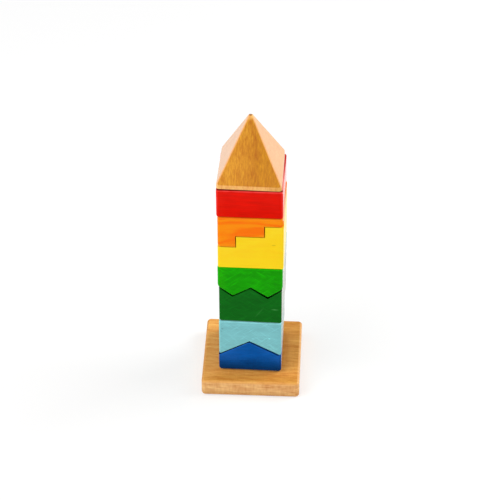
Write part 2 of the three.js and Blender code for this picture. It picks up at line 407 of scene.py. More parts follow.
def cut_across(x):
    """Cuts the open piece all round at one place along X."""
    bpy.ops.mesh.select_all(action="SELECT")
    bpy.ops.mesh.bisect(plane_co=(x, 0, 0), plane_no=(1, 0, 0))


def round_edges(piece, test, radius, steps):
    choose(piece, "EDGE", test)
    bpy.ops.mesh.bevel(offset=radius, segments=steps, affect="EDGES")


def ease(piece, radius_of):
    """Rounds every outward edge of the open piece by a radius of its own, all at once so that they meet."""
    shape = bmesh.from_edit_mesh(piece.data)
    shape.normal_update()
    radii = {radius_of(edge) for edge in shape.edges if is_arris(edge)}
    widest = max(radii)
    for radius in radii:
        choose(piece, "EDGE", lambda edge, goal=radius: is_arris(edge) and radius_of(edge) == goal)
        bpy.ops.transform.edge_bevelweight(value=radius / widest)
    take(piece)
    arrises = piece.modifiers.new("arrises", "BEVEL")
    arrises.limit_method = "WEIGHT"
    arrises.width = widest
    arrises.segments = ARRIS_STEPS
    bpy.ops.object.modifier_apply(modifier=arrises.name)
    piece.data.attributes.remove(piece.data.attributes["bevel_weight_edge"])


def drill(piece, radius, bottom, top, rim):
    """Drills a piece along the post's axis and eases the hole's edges."""
    take(piece)
    bit = add_rod("drill_bit", radius, bottom, top)
    take(piece)
    hole = piece.modifiers.new("hole", "BOOLEAN")
    hole.operation = "DIFFERENCE"
    hole.solver = "EXACT"
    hole.object = bit
    bpy.ops.object.modifier_apply(modifier=hole.name)
    bpy.data.meshes.remove(bit.data)
    if rim == 0:
        return

    def is_rim(edge):
        return is_arris(edge) and all(near(vertex.co.xy.length, radius) for vertex in edge.verts)

    bpy.ops.object.mode_set(mode="EDIT")
    round_edges(piece, is_rim, rim, RIM_STEPS)
    bpy.ops.object.mode_set(mode="OBJECT")


def bore(piece, sizes, bottom, top):
    """Drills a block's hole for the post, past both of its ends."""
    drill(piece, sizes.bore_radius, bottom - sizes.bore_radius, top + sizes.bore_radius, sizes.bore_rim)


def seat(piece, node, angle):
    """Turns a piece about the post's axis and shifts it along X to its node's place, in its mesh."""
    take(piece)
    low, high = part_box(node)
    piece.rotation_euler.z = angle
    piece.location.x = (low.x + high.x) / 2
    bpy.ops.object.transform_apply(location=True, rotation=True, scale=True)


def clamped(value):
    return min(max(value, 0.0), 1.0)


def write(piece, name, domain, values):
    attribute = piece.data.attributes.new(name, "FLOAT", domain)
    attribute.data.foreach_set("value", values)


def mark_arrises(piece):
    """Writes to each vertex how sharply the surface turns there, for the wear along the arrises and the
    painted highlight on those that face up.
    """
    shape = bmesh.new()
    shape.from_mesh(piece.data)
    wear = []
    for vertex in shape.verts:
        sharpest = max(edge.calc_face_angle(0) for edge in vertex.link_edges)
        share = (sharpest - WEAR_AND_HIGHLIGHT_START) / (WEAR_AND_HIGHLIGHT_FULL - WEAR_AND_HIGHLIGHT_START)
        height = UPRIGHT_WEAR_AND_HIGHLIGHT + (1 - UPRIGHT_WEAR_AND_HIGHLIGHT) * vertex.normal.z / UPPER_FACING
        wear.append(clamped(share) * clamped(height))
    shape.free()
    write(piece, WEAR_AND_HIGHLIGHT_NAME, "POINT", wear)


def mark_sides(piece):
    """Writes to each face whether it faces along X and how upright it stands, for other tints there, such as
    the painted side light on the pyramid.
    """
    normals = [face.normal.copy() for face in piece.data.polygons]
    facing = [clamped((abs(normal.x) - SIDE_START) / (SIDE_FULL - SIDE_START)) for normal in normals]
    write(piece, SIDE_NAME, "FACE", facing)
    write(piece, UPRIGHT_NAME, "FACE", [1 - abs(normal.z) for normal in normals])


def mark_joint(piece, joint, half):
    """Writes to each vertex whether it lies on the joint's faces, inside their arrises."""
    def distance(place, start, end):
        leg = end - start
        share = (place - start).dot(leg) / leg.length_squared
        return (place - start - leg * clamped(share)).length

    on_joint = []
    for vertex in piece.data.vertices:
        place = Vector((vertex.co.x, vertex.co.z))
        nearest = min(distance(place, start, end) for start, end in zip(joint, joint[1:]))
        on_joint.append(float(nearest < JOINT_REACH and abs(vertex.co.y) < half))
    write(piece, JOINT_NAME, "POINT", on_joint)


def complete(piece, node, material, joint_material=None):
    """Smooths a modelled piece, gives it its finishes and puts it in the place of its node."""
    take(piece)
    mark_arrises(piece)
    mark_sides(piece)
    bpy.ops.object.shade_smooth_by_angle(angle=SMOOTH_ANGLE)
    flats = piece.modifiers.new("flats", "WEIGHTED_NORMAL")
    flats.keep_sharp = True
    bpy.ops.object.modifier_apply(modifier=flats.name)
    piece.data.materials.clear()
    piece.data.materials.append(material)
    if joint_material:
        piece.data.materials.append(joint_material)
        on_joint = piece.data.attributes[JOINT_NAME].data
        for face in piece.data.polygons:
            face.material_index = int(all(on_joint[i].value for i in face.vertices))
    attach(piece, BODY_OF_NODE[node])
    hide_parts(node)


# The interlocking joints

@dataclass
class Block:
    """One of two blocks that interlock."""

    name: str
    node: str
    turn: float
    finishes: tuple
    side: float
    side_radius: float
    flat_radius: float
    end_radius: float
    joint_radius: float
    corner_radius: float
    tuck: float = 0.0


def usual_block(sizes, name, node, turn, finishes, **others):
    """A block of the usual sizes, apart from the others given."""
    usual = {
        "side": sizes.block_side,
        "side_radius": sizes.block_arris,
        "flat_radius": sizes.block_arris,
        "end_radius": sizes.joint_arris,
        "joint_radius": sizes.joint_arris,
        "corner_radius": sizes.joint_arris,
    }
    return Block(name, node, turn, finishes, **{**usual, **others})


def corners(*places):
    """The corners of a joint's line across the front: places along X and heights."""
    return [Vector(place) for place in places]


def ended(line, half):
    """A joint line with its two end legs drawn out or cut back to the block's sides."""
    moved = list(line)
    for end, inner, x in ((0, 1, -half), (-1, -2, half)):
        leg = line[end] - line[inner]
        moved[end] = line[inner] + leg * ((x - line[inner].x) / leg.x)
    return moved


def raised(line, gap, slip):
    """A joint line moved up by a gap that is the same all along its legs, and then to the right."""
    legs = [(after - before).normalized() for before, after in zip(line, line[1:])]
    normals = [Vector((-leg.y, leg.x)) for leg in legs]
    moved = []
    for i, corner in enumerate(line):
        left = normals[max(i - 1, 0)]
        right = normals[min(i, len(normals) - 1)]
        middle = (left + right).normalized()
        moved.append(corner + middle * (gap / middle.dot(left)) + Vector((slip, 0)))
    return moved


def block_box(name, side, bottom, top):
    half = side / 2
    return add_box(name, Vector((-half, -half, bottom)), Vector((half, half, top)))


def tuck(piece, half, shift, left=False):
    """Moves one of the open piece's two upright back edges."""
    x = -half if left else half
    choose(piece, "VERT", lambda vertex: near(vertex.co.x, x) and near(vertex.co.y, half))
    bpy.ops.transform.translate(value=shift)


def slope_block(name, side, line, flat, is_lower):
    """A block with one flat end and a joint of slanting legs at the other."""
    heights = [corner.y for corner in line]
    if is_lower:
        start = min(heights)
        piece = block_box(name, side, flat, start)
    else:
        start = max(heights)
        piece = block_box(name, side, start, flat)
    for corner in line[1:-1]:
        cut_across(corner.x)
    for corner in line:
        choose(piece, "VERT", lambda vertex, x=corner.x: near(vertex.co.x, x) and near(vertex.co.z, start))
        bpy.ops.transform.translate(value=(0, 0, corner.y - start))
    return piece


def step_block(name, side, line, flat, is_lower):
    """A block with one flat end and a joint of level treads and upright risers at the other."""
    risers = [before.x for before, after in zip(line, line[1:]) if near(before.x, after.x)]
    rise = (line[-1].y - line[0].y) / len(risers)
    if is_lower:
        piece = block_box(name, side, flat, line[0].y)
        facing, order = 1, risers
    else:
        piece = block_box(name, side, line[-1].y, flat)
        facing, order = -1, risers[::-1]
    for x in risers:
        cut_across(x)

    for x in order:
        def lies_beyond(face, riser=x):
            is_level = face.normal.z * facing > LEVEL_FACING
            return is_level and (face.calc_center_median().x - riser) * facing > 0

        choose(piece, "FACE", lies_beyond)
        bpy.ops.mesh.extrude_region_move(TRANSFORM_OT_translate={"value": (0, 0, rise * facing)})
    return piece


def block_radius(block, joint, flat):
    """Gives each edge its rounding: at the flat end, the joint's ends or corners, along it or elsewhere."""
    def lies_on(vertex, corner):
        return abs(vertex.co.x - corner.x) < CORNER_REACH and near(vertex.co.z, corner.y)

    def radius_of(edge):
        if at_height(flat)(edge):
            return block.flat_radius
        if any(all(lies_on(vertex, end) for vertex in edge.verts) for end in (joint[0], joint[-1])):
            return block.end_radius
        if any(all(lies_on(vertex, corner) for vertex in edge.verts) for corner in joint):
            return block.corner_radius
        if all(any(lies_on(vertex, corner) for corner in joint) for vertex in edge.verts):
            return block.joint_radius
        return block.side_radius

    return radius_of


def make_pair(sizes, make_block, lower_line, upper_line, lower, upper):
    """Two blocks cut along their joint's lines, whose heights start at the lower block's underside."""
    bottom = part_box(lower.node)[0].z
    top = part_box(upper.node)[1].z - sizes.rest_gap
    sides = ((lower, lower_line, bottom, True), (upper, upper_line, top, False))
    for block, line, flat, is_lower in sides:
        half = block.side / 2
        joint = ended([Vector((corner.x, corner.y + bottom)) for corner in line], half)
        piece = make_block(block.name, block.side, joint, flat, is_lower)
        tuck(piece, half, Vector((-block.tuck, 0, 0)))
        ease(piece, block_radius(block, joint, flat))
        bore(piece, sizes, bottom, top)
        mark_joint(piece, joint, half - block.joint_radius + JOINT_REACH)
        seat(piece, block.node, block.turn)
        complete(piece, block.node, *block.finishes)


# Finishes

@dataclass
class Finish:
    """How a wooden surface looks, apart from its colour.

    Weights are shares of the full range of tone, a ring's length is in ring spacings and the scratches'
    angles are in degrees.
    """

    grain: int = X
    fibre: tuple = mm(14, 1.3, 1.3)
    mottle: tuple = mm(16, 7, 7)
    ring_spacing: float = 4 * MM
    ring_length: float = 25
    ring_warp: float = 3.0
    ring_tilt: float = 0.0
    ring_weight: float = 0.06
    streak_weight: float = 1.2
    mottle_weight: float = 0.5
    ray_weight: float = 0.0
    range_of_tone: float = 0.45
    channels: tuple = (1.0, 1.0, 1.0)
    fleck_weight: float = 0.0
    scratch_weight: float = 0.15
    scratch_angles: tuple = (35,)
    # The wear along the arrises, partly a painted highlight: its weight and how much its colour is lifted
    wear_weight: float = 0.2
    wear_lift: float = 0.02
    paler: float = 1.35
    # How dark the joint faces are, partly their own tone and partly painted shade in the gap, and the tint of
    # the painted shade along their front and back edges
    joint_tone: float = 0.7
    pooled_tone: float = 0.05
    roughness: float = 0.24
    index: float = 1.05
    sheen: float = 1.0
    sheen_spread: float = 0.22
    coat: float = 1.0
    coat_index: float = 1.08
    coat_roughness: float = 0.1


class Nodes:
    """A node tree that grows by nodes with their inputs, which are values or other nodes' outputs."""

    def __init__(self, tree):
        self.tree = tree

    def put(self, socket, value):
        if isinstance(value, bpy.types.NodeSocket):
            self.tree.links.new(value, socket)
        else:
            socket.default_value = value

    def add(self, kind, inputs, **settings):
        node = self.tree.nodes.new(kind)
        for name, value in settings.items():
            setattr(node, name, value)
        for key, value in inputs.items():
            self.put(node.inputs[key], value)
        return node

    def coordinates(self):
        return self.add("ShaderNodeTexCoord", {}).outputs["Object"]

    def distance(self, place):
        return self.add("ShaderNodeVectorMath", {0: place}, operation="LENGTH").outputs["Value"]

    def calculate(self, operation, *values):
        return self.add("ShaderNodeMath", dict(enumerate(values)), operation=operation).outputs[0]

    def window(self, value, start, end, low=0.0, high=1.0, kind="SMOOTHSTEP"):
        """A value's way from low, at start, to high, at end."""
        inputs = {"Value": value, "From Min": start, "From Max": end, "To Min": low, "To Max": high}
        return self.add("ShaderNodeMapRange", inputs, interpolation_type=kind).outputs["Result"]


class WoodNodes(Nodes):
    """The node tree of one wooden finish. Its patterns read the piece's own coordinates, in metres."""

    # Places of a colour mix's sockets
    MIX_FACTOR, MIX_UNDER, MIX_OVER, MIX_RESULT = 0, 6, 7, 2

    # Distance from ring to ring in a wave texture of scale 1
    RING_PERIOD = 2 * math.pi / 20

    def __init__(self, name, seed):
        self.material = bpy.data.materials.new(name)
        self.material.use_nodes = True
        super().__init__(self.material.node_tree)
        self.shader = self.tree.nodes["Principled BSDF"]
        self.place = self.coordinates()
        self.shift = [seed * step for step in SEED_SHIFT]

    def at(self, size, rotation=(0, 0, 0), centre=None):
        """The piece's coordinates measured in a feature's sizes, from its centre and turned with it."""
        start = centre or self.shift
        inputs = {"Vector": self.place, "Location": start, "Rotation": rotation, "Scale": size}
        return self.add("ShaderNodeMapping", inputs, vector_type="TEXTURE").outputs["Vector"]

    def noise(self, size, rotation=(0, 0, 0), detail=2.0, rough=0.5):
        inputs = {"Vector": self.at(size, rotation), "Scale": 1.0, "Detail": detail, "Roughness": rough}
        return self.add("ShaderNodeTexNoise", inputs).outputs["Fac"]

    def rings(self, finish, pith):
        """Growth rings round a line along the grain, which wander as they go."""
        long = finish.ring_length * finish.ring_spacing
        size = along(finish.grain, long, finish.ring_spacing / self.RING_PERIOD)
        inputs = {
            "Vector": self.at(size, (0, -finish.ring_tilt, 0), pith),
            "Scale": 1.0,
            "Distortion": finish.ring_warp,
            "Detail": 2.0,
            "Detail Scale": 1.5,
        }
        settings = {"wave_type": "RINGS", "rings_direction": "XYZ"[finish.grain], "wave_profile": "SIN"}
        return self.add("ShaderNodeTexWave", inputs, **settings).outputs["Fac"]

    def dashes(self, size, fill):
        """Short dark dashes, scattered: 1 on a dash and 0 between."""
        inputs = {"Vector": self.at(size), "Scale": 1.0, "Randomness": 1.0}
        distance = self.add("ShaderNodeTexVoronoi", inputs).outputs["Distance"]
        return self.window(distance, fill, fill / 2)

    def mix(self, factor, *tints):
        """A mix of two tints, each of which is a colour or an output."""
        under, over = (tint if isinstance(tint, bpy.types.NodeSocket) else (*tint, 1.0) for tint in tints)
        inputs = {self.MIX_FACTOR: factor, self.MIX_UNDER: under, self.MIX_OVER: over}
        return self.add("ShaderNodeMix", inputs, data_type="RGBA").outputs[self.MIX_RESULT]

    def attribute(self, name):
        return self.add("ShaderNodeAttribute", {}, attribute_name=name).outputs["Fac"]


@dataclass
class Mark:
    """A patch of another tint, an ellipsoid whose edge is soft and ragged by shares of its size."""

    centre: tuple
    size: tuple
    tint: tuple
    weight: float
    angle: float = 0.0
    soft: float = 0.3
    ragged: float = 0.8
    contrast: float = 1.0

    def factor(self, nodes):
        """The mark's weight inside it and 0 outside."""
        distance = nodes.distance(nodes.at(self.size, (0, -self.angle, 0), self.centre))
        if self.ragged:
            distance = nodes.calculate("MULTIPLY_ADD", nodes.noise(RAGGED_SIZE), self.ragged, distance)
        edge = 1 + self.ragged / 2
        return nodes.window(distance, edge + self.soft, edge - self.soft, 0.0, self.weight)


@dataclass
class Faces:
    """Another tint on the faces that one of the piece's attributes picks out."""

    attribute: str
    tint: tuple
    contrast: float = 1.0

    def factor(self, nodes):
        return nodes.attribute(self.attribute)


def scaled(tint, factor):
    """A colour made lighter or darker."""
    return [min(channel * factor, 1.0) for channel in tint]


def tones(tint, finish, contrast=1.0):
    """The dark and the light end of a tint's range, with the tint in their middle."""
    spreads = [finish.range_of_tone * contrast * share for share in finish.channels]
    light = [min(channel * (1 + spread), 1.0) for channel, spread in zip(tint, spreads)]
    dark = [2 * middle - end for middle, end in zip(tint, light)]
    return dark, light


def along(axis, long, wide):
    """The sizes of a feature that is drawn out along one axis."""
    sizes = [wide] * 3
    sizes[axis] = long
    return sizes


def level_band(z, height, tint, weight, **others):
    """A mark all round a piece at one height."""
    return Mark((0, 0, z), (ENDLESS, ENDLESS, height), tint, weight, **others)


def painted_sheen_edge(node, tint):
    """A painted sheen: a pale mark along the front part of a block's upper right edge."""
    low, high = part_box(node)
    edge = (high.x - 0.4 * MM, low.y, high.z - 0.5 * MM)
    return Mark(edge, mm(1.2, 32, 1.2), tint, 0.6, ragged=0.3)


def stained(node, tint, finish, seed, patches=(), painted_light_marks=()):
    """A block's finish, and that of its joint: unvarnished and darker, partly painted shade in the gap, with
    painted shade along its front and back edges.
    """
    outside = wood(SLOT_OF_NODE[node], tint, finish, seed, patches, painted_light_marks)
    low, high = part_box(node)
    # Painted shade along the joint's front and back edges, which darkens the gap
    gap_shade_tint = scaled(tint, finish.pooled_tone)
    band = (ENDLESS, GAP_SHADE_WIDTH, ENDLESS)
    edges = [Mark((0, y, 0), band, gap_shade_tint, 1.0, ragged=0.4) for y in (low.y, high.y)]
    bare = replace(finish, coat=0.0, sheen=0.0, wear_weight=0.0)
    return outside, wood(node.replace("block", "joint"), scaled(tint, finish.joint_tone), bare, seed, edges)


def grain(nodes, finish, seed, fibres):
    """The tone of rings, fibres, mottling and rays, round a middle of 0.5."""
    pith = UPRIGHT_PITH
    if finish.grain == X:
        x, y, z = LEVEL_PITH
        pith = (x, y, z + PITH_RISE * seed)
    mottling = nodes.noise(finish.mottle, detail=3.0)
    patterns = [
        (nodes.rings(finish, pith), finish.ring_weight),
        (fibres, finish.streak_weight),
        (mottling, finish.mottle_weight),
    ]
    if finish.ray_weight:
        weight = nodes.calculate("MULTIPLY", nodes.attribute(UPRIGHT_NAME), finish.ray_weight)
        patterns.append((nodes.noise(RAY_SIZE, detail=1.0), weight))
    tone = 0.5
    for pattern, weight in patterns:
        tone = nodes.calculate("MULTIPLY_ADD", nodes.calculate("SUBTRACT", pattern, 0.5), weight, tone)
    return tone


def wood(name, tint, finish, seed, patches=(), painted_light_marks=()):
    """A wooden finish: grain, flecks, scratches, worn arrises with a painted highlight on those that face up,
    patches of other tints, and marks of painted light and shade laid on top.
    """
    nodes = WoodNodes(name, seed)
    fibres = nodes.noise(finish.fibre, detail=3.0, rough=0.6)
    ends = tones(tint, finish)
    for patch in patches:
        factor = patch.factor(nodes)
        ends = [nodes.mix(factor, *pair) for pair in zip(ends, tones(patch.tint, finish, patch.contrast))]
    surface = nodes.mix(grain(nodes, finish, seed, fibres), *ends)

    if finish.fleck_weight:
        flecks = nodes.dashes(along(finish.grain, FLECK_LENGTH, FLECK_WIDTH), FLECK_FILL)
        factor = nodes.calculate("MULTIPLY", flecks, finish.fleck_weight)
        if finish.ray_weight:
            level = nodes.calculate("SUBTRACT", 1.0, nodes.attribute(UPRIGHT_NAME))
            factor = nodes.calculate("MULTIPLY", factor, level)
        surface = nodes.mix(factor, surface, [channel ** FLECK_POWER for channel in scaled(tint, FLECK_TONE)])

    scratches = 0.0
    for angle in finish.scratch_angles:
        strokes = nodes.noise(SCRATCH_SIZE, (0, -math.radians(angle), 0), detail=1.0)
        scratches = nodes.calculate("MAXIMUM", strokes, scratches)
    lines = nodes.window(scratches, SCRATCH_START, SCRATCH_FULL)
    factor = nodes.calculate("MULTIPLY", lines, finish.scratch_weight)
    surface = nodes.mix(factor, surface, scaled(tint, finish.paler))

    # Worn arrises, partly painted highlight: paler, and strongest on arrises that face up
    patchy = nodes.window(nodes.noise(PATCHY_SIZE), *PATCHY_RANGE, *PATCHY_SHARES)
    worn = nodes.calculate("MULTIPLY", nodes.attribute(WEAR_AND_HIGHLIGHT_NAME), finish.wear_weight)
    pale = scaled([channel + finish.wear_lift for channel in tint], finish.paler)
    surface = nodes.mix(nodes.calculate("MULTIPLY", worn, patchy), surface, pale)
    # Marks of painted light and shade, laid over the wear: highlights, sheen and shadows
    for stain in painted_light_marks:
        surface = nodes.mix(stain.factor(nodes), surface, stain.tint)

    height = nodes.calculate("MULTIPLY_ADD", lines, -SCRATCH_DEPTH, fibres)
    bumps = {"Strength": BUMP_STRENGTH, "Distance": BUMP_HEIGHT, "Height": height}
    least_rough = finish.roughness - GLOSS_SPREAD / 2
    values = {
        "Base Color": surface,
        "Roughness": nodes.calculate("MULTIPLY_ADD", fibres, GLOSS_SPREAD, least_rough),
        "Normal": nodes.add("ShaderNodeBump", bumps).outputs["Normal"],
        "IOR": finish.index,
        "Sheen Weight": finish.sheen,
        "Sheen Roughness": finish.sheen_spread,
        "Coat Weight": finish.coat,
        "Coat IOR": finish.coat_index,
        "Coat Roughness": finish.coat_roughness,
    }
    for key, value in values.items():
        nodes.put(nodes.shader.inputs[key], value)
    return nodes.material


# Operators

def user_values(context):
    """The sizes, turns and colours that the user set."""
    scene = context.scene
    return scene.tower_sizes, scene.tower_seats, scene.tower_colours


class TOWER_OT_base_plate(bpy.types.Operator):
    """Make the square base plate with its rounded edges and the post's socket"""

    bl_idname = "tower.base_plate"
    bl_label = "Base Plate"
    bl_options = {"REGISTER", "UNDO"}

    def execute(self, context):
        sizes, _, colours = user_values(context)
        low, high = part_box("base_plate")
        post_low, post_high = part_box("dowel_post")
        plate = add_box("beech_base_plate", low, high)
        round_edges(plate, is_upright, sizes.plate_corner, WIDE_STEPS)
        for z in (low.z, high.z):
            round_edges(plate, at_height(z), sizes.plate_edge, PLATE_STEPS)
        socket = (post_high.x - post_low.x) / 2 + sizes.socket_spare
        drill(plate, socket, post_low.z, high.z + socket, sizes.bore_rim)
        finish = Finish(
            fibre=mm(10, 1.3, 1.3), ring_weight=0.15, streak_weight=1.5, mottle_weight=0.7,
            ray_weight=0.6, channels=BEECH_CHANNELS, fleck_weight=0.3, wear_weight=0.5, wear_lift=0.05,
            sheen=0.2,
        )
        half = sizes.block_side / 2
        marks = (
            Mark((4 * MM, low.y, high.z), mm(50, 11, 10), colours.plate_front, 0.9, ragged=0.3),
            # Paler left part of the top: the beech's tone and painted light
            Mark((low.x, 4 * MM, high.z), mm(14, 40, 10), colours.plate_left, 0.9, ragged=0.3),
            # Painted shadow on the top, right of the lowest block
            Mark((half, 0, high.z), mm(3.5, 26, 3), colours.plate_shade, 0.4, soft=0.6),
            # Painted shade along the upper left edge
            Mark((low.x, 0, high.z), (1.3 * MM, ENDLESS, 4 * MM), colours.plate_dark, 0.8, ragged=0.3),
            # Painted highlight along the upper right edge
            Mark((high.x, 0, high.z), (1.6 * MM, ENDLESS, 4 * MM), colours.plate_pale, 0.5, ragged=0.3),
            Faces(UPRIGHT_NAME, colours.plate_face),
            # Painted shade, darker towards the foot of the sides
            level_band(low.z, 5 * MM, colours.plate_foot, 0.6, soft=0.8, ragged=0.2),
        )
        complete(plate, "base_plate", wood("oiled_beech_plate", colours.plate, finish, seed=1, patches=marks))
        return {"FINISHED"}


class TOWER_OT_dowel_post(bpy.types.Operator):
    """Make the round post with its domed end"""

    bl_idname = "tower.dowel_post"
    bl_label = "Dowel Post"
    bl_options = {"REGISTER", "UNDO"}

    def execute(self, context):
        sizes, _, colours = user_values(context)
        low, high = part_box("dowel_post")
        post = add_rod("beech_dowel_post", (high.x - low.x) / 2, low.z, high.z)
        round_edges(post, at_height(high.z), sizes.post_nose, WIDE_STEPS)
        round_edges(post, at_height(low.z), sizes.post_foot, steps=1)
        finish = Finish(
            grain=Z, fibre=mm(1.3, 1.3, 14), mottle=mm(7, 7, 16), ring_weight=0.2, streak_weight=0.8,
            channels=BEECH_CHANNELS, fleck_weight=0.4, index=1.35,
        )
        complete(post, "dowel_post", wood("bare_beech_post", colours.post, finish, seed=2))
        return {"FINISHED"}


class TOWER_OT_ridge_pair(bpy.types.Operator):
    """Make the two blue blocks that meet at a roof ridge"""

    bl_idname = "tower.ridge_pair"
    bl_label = "Ridge Pair"
    bl_options = {"REGISTER", "UNDO"}

    def execute(self, context):
        sizes, seats, colours = user_values(context)
        half = sizes.block_side / 2
        crest = (-sizes.ridge_offset, sizes.eaves + sizes.ridge_rise)
        ridge = corners((-half, sizes.eaves), crest, (half, sizes.eaves))
        notch = raised(ridge, sizes.ridge_gap, sizes.ridge_slip)

        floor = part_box("dark_blue_block")[0].z
        # Painted shade: the dark blue block darkens towards its foot, where the plate's ledge takes light
        # away
        foot = level_band(floor, 10 * MM, scaled(colours.dark_blue, 0.42), 1.0, soft=0.9)
        smooth = Finish(streak_weight=0.8, scratch_weight=0.05, wear_weight=0.6, paler=2.1)
        dark = stained("dark_blue_block", colours.dark_blue, smooth, seed=3, patches=(foot,))
        deep = scaled(colours.light_blue, 0.5)
        pale = scaled(colours.light_blue, 1.5)
        specks = (
            Mark(mm(-22.3, -24.4, 56.8), mm(0.8, 2, 0.5), deep, 0.7),
            Mark(mm(-23.4, -24.4, 54.3), mm(0.5, 2, 0.5), deep, 0.5),
            Mark(mm(14.3, -24.4, 48.5), mm(0.9, 2, 0.7), pale, 0.7),
            Mark(mm(1.5, -24.4, 47.8), mm(0.9, 2, 0.5), pale, 0.5),
        )
        brushed = Finish(
            streak_weight=0.5, mottle_weight=0.35, range_of_tone=0.3, scratch_weight=0.4,
            scratch_angles=(38, -40), wear_weight=0.8, paler=1.5, coat_roughness=0.5,
        )
        light = stained("light_blue_block", colours.light_blue, brushed, seed=4, patches=specks)

        lower = usual_block(
            sizes, "dark_blue_ridge_block", "dark_blue_block", seats.dark_blue, dark,
            side=sizes.block_side - sizes.dark_blue_sanded, side_radius=sizes.worn_arris,
            flat_radius=sizes.foot_arris, joint_radius=sizes.ridge_arris, corner_radius=sizes.ridge_arris,
            tuck=sizes.blue_tuck,
        )
        upper = usual_block(
            sizes, "light_blue_notched_block", "light_blue_block", seats.light_blue, light,
            side=sizes.block_side - sizes.light_blue_sanded, end_radius=sizes.blunt_arris,
        )
        make_pair(sizes, slope_block, ridge, notch, lower, upper)
        return {"FINISHED"}


class TOWER_OT_tooth_pair(bpy.types.Operator):
    """Make the two green blocks that meet at a zigzag"""

    bl_idname = "tower.tooth_pair"
    bl_label = "Tooth Pair"
    bl_options = {"REGISTER", "UNDO"}

    def execute(self, context):
        sizes, seats, colours = user_values(context)

        def zigzag(left_rise, right_rise):
            half = sizes.block_side / 2
            root = sizes.tooth_root
            crest = root + sizes.tooth_depth
            left = (-sizes.tooth_offset_left, root + left_rise)
            right = (sizes.tooth_offset, root + right_rise)
            return corners((-half, crest), left, (0, crest), right, (half, crest))

        valleys = zigzag(sizes.left_rise - sizes.left_cut, -sizes.right_cut)
        teeth = raised(zigzag(sizes.left_rise, 0), sizes.tooth_gap, sizes.tooth_slip)

        scrape_and_sheen = scaled([channel + 0.03 for channel in colours.dark_green], 2.2)
        scrapes = (
            Mark(mm(18.5, -24.3, 78.5), mm(2.6, 2, 0.5), scrape_and_sheen, 0.8),
            Mark(mm(6.5, -24.3, 75), mm(5.8, 2, 0.4), scrape_and_sheen, 0.2, angle=math.radians(56)),
        )
        sanded = Finish(
            streak_weight=0.4, scratch_weight=0.8, scratch_angles=(38, -35), wear_weight=0.9,
            wear_lift=0.0, paler=1.6,
        )
        dark = stained("dark_green_block", colours.dark_green, sanded, seed=5, patches=scrapes)
        left = Mark(mm(-25, -25, 106), mm(5, 30, 30), colours.green_left, 0.6, soft=0.6)
        coarse = replace(sanded, streak_weight=0.6, scratch_weight=0.9)
        light = stained("light_green_block", colours.light_green, coarse, seed=6, patches=(left,))

        lower = usual_block(
            sizes, "dark_green_toothed_block", "dark_green_block", seats.dark_green, dark,
            side=sizes.block_side - sizes.dark_green_sanded, flat_radius=sizes.worn_arris,
            joint_radius=sizes.tooth_arris, corner_radius=sizes.tooth_arris,
        )
        upper = usual_block(
            sizes, "light_green_toothed_block", "light_green_block", seats.light_green, light,
            side_radius=sizes.worn_arris, end_radius=sizes.blunt_arris, corner_radius=sizes.tip_arris,
        )
        make_pair(sizes, slope_block, valleys, teeth, lower, upper)
        return {"FINISHED"}


class TOWER_OT_stair_pair(bpy.types.Operator):
    """Make the yellow and orange blocks that meet at two steps"""

    bl_idname = "tower.stair_pair"
    bl_label = "Stair Pair"
    bl_options = {"REGISTER", "UNDO"}

    def execute(self, context):
        sizes, seats, colours = user_values(context)
        half = sizes.block_side / 2
        riser = sizes.middle_tread / 2
        low = sizes.low_tread
        middle = low + sizes.step_rise
        high = middle + sizes.step_rise
        stairs = corners(
            (-half, low), (-riser, low), (-riser, middle), (riser, middle), (riser, high), (half, high)
        )

        fleck = Mark(mm(17.4, -25, 142.2), mm(1.5, 2, 0.45), scaled(colours.yellow, 0.6), 0.7)
        plain = Finish(
            range_of_tone=0.15, streak_weight=0.5, wear_weight=0.5, wear_lift=0.06, paler=1.15, sheen=0.1,
            coat=0.5, joint_tone=1.0, pooled_tone=0.9,
        )
        yellow = stained("yellow_block", colours.yellow, plain, seed=7, patches=(fleck,))
        wavy = Finish(
            ring_weight=1.0, ring_warp=10.0, ring_tilt=math.radians(9), ring_spacing=7 * MM,
            ring_length=10, range_of_tone=0.25, pooled_tone=0.35,
        )
        # Painted sheen along the front of the orange block's upper right edge
        scrape_and_sheen = painted_sheen_edge("orange_block", colours.orange_rubbed)
        orange = stained("orange_block", colours.orange, wavy, seed=8.6, painted_light_marks=(scrape_and_sheen,))

        lower = usual_block(sizes, "yellow_stair_block", "yellow_block", seats.stairs, yellow)
        upper = usual_block(
            sizes, "orange_stair_block", "orange_block", seats.stairs, orange,
            side_radius=sizes.worn_arris, end_radius=sizes.stair_end,
        )
        make_pair(sizes, step_block, stairs, raised(stairs, sizes.stair_gap, 0), lower, upper)
        return {"FINISHED"}


